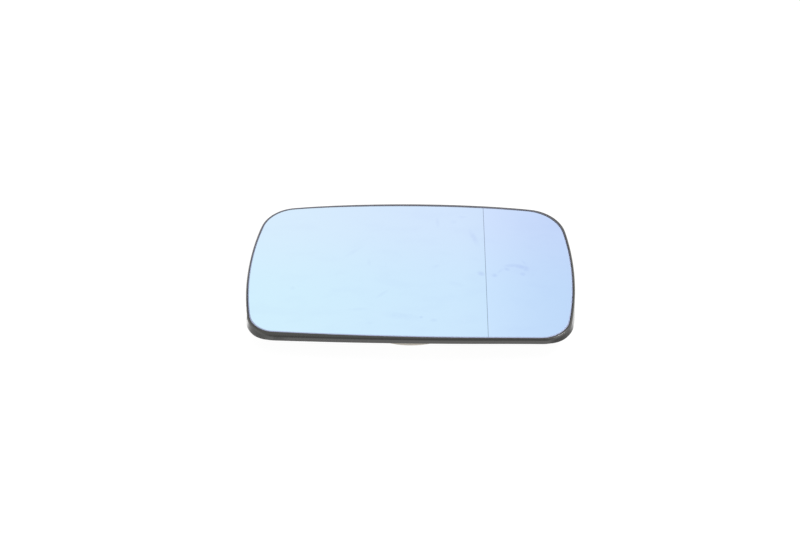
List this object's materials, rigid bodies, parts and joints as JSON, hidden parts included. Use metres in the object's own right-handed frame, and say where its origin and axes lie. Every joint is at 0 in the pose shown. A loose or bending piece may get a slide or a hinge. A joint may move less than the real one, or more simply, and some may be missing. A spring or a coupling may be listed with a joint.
{
  "type": "car door mirror glass",
  "caption": "Convex blue-tinted door mirror glass with a tighter outboard zone, bonded with its heater mat in a thin-lipped carrier that a toothed lock ring fixes to the adjuster.",
  "frame": {"origin": "on the lock ring's axis at its foot, under the middle of the carrier's outline", "axes": "+Z out of the glass along the ring's axis, +X outboard along the glass, +Y up the glass"},
  "size_m": [0.1643, 0.0978, 0.017],
  "materials": {
    "blue_mirror": "polished, blue-tinted reflecting coat with faint finger smears",
    "heater_film": "matt film",
    "terminal_brass": "stamped",
    "black_plastic": "satin moulded",
    "ivory_plastic": "natural moulded"
  },
  "bodies": {
    "mirror": {"mirror_glass": "blue_mirror", "heater_mat": "heater_film", "heater_terminal_upper": "terminal_brass", "heater_terminal_lower": "terminal_brass", "carrier_plate": "black_plastic"},
    "ring": {"lock_ring": "ivory_plastic"}
  },
  "joints": [
    {"name": "lock_ring_turn", "type": "hinge", "parent": "mirror", "child": "ring", "pos_m": [0, 0, 0.0053], "axis": [0, 0, 1], "range_deg": [0, 25]}
  ]
}
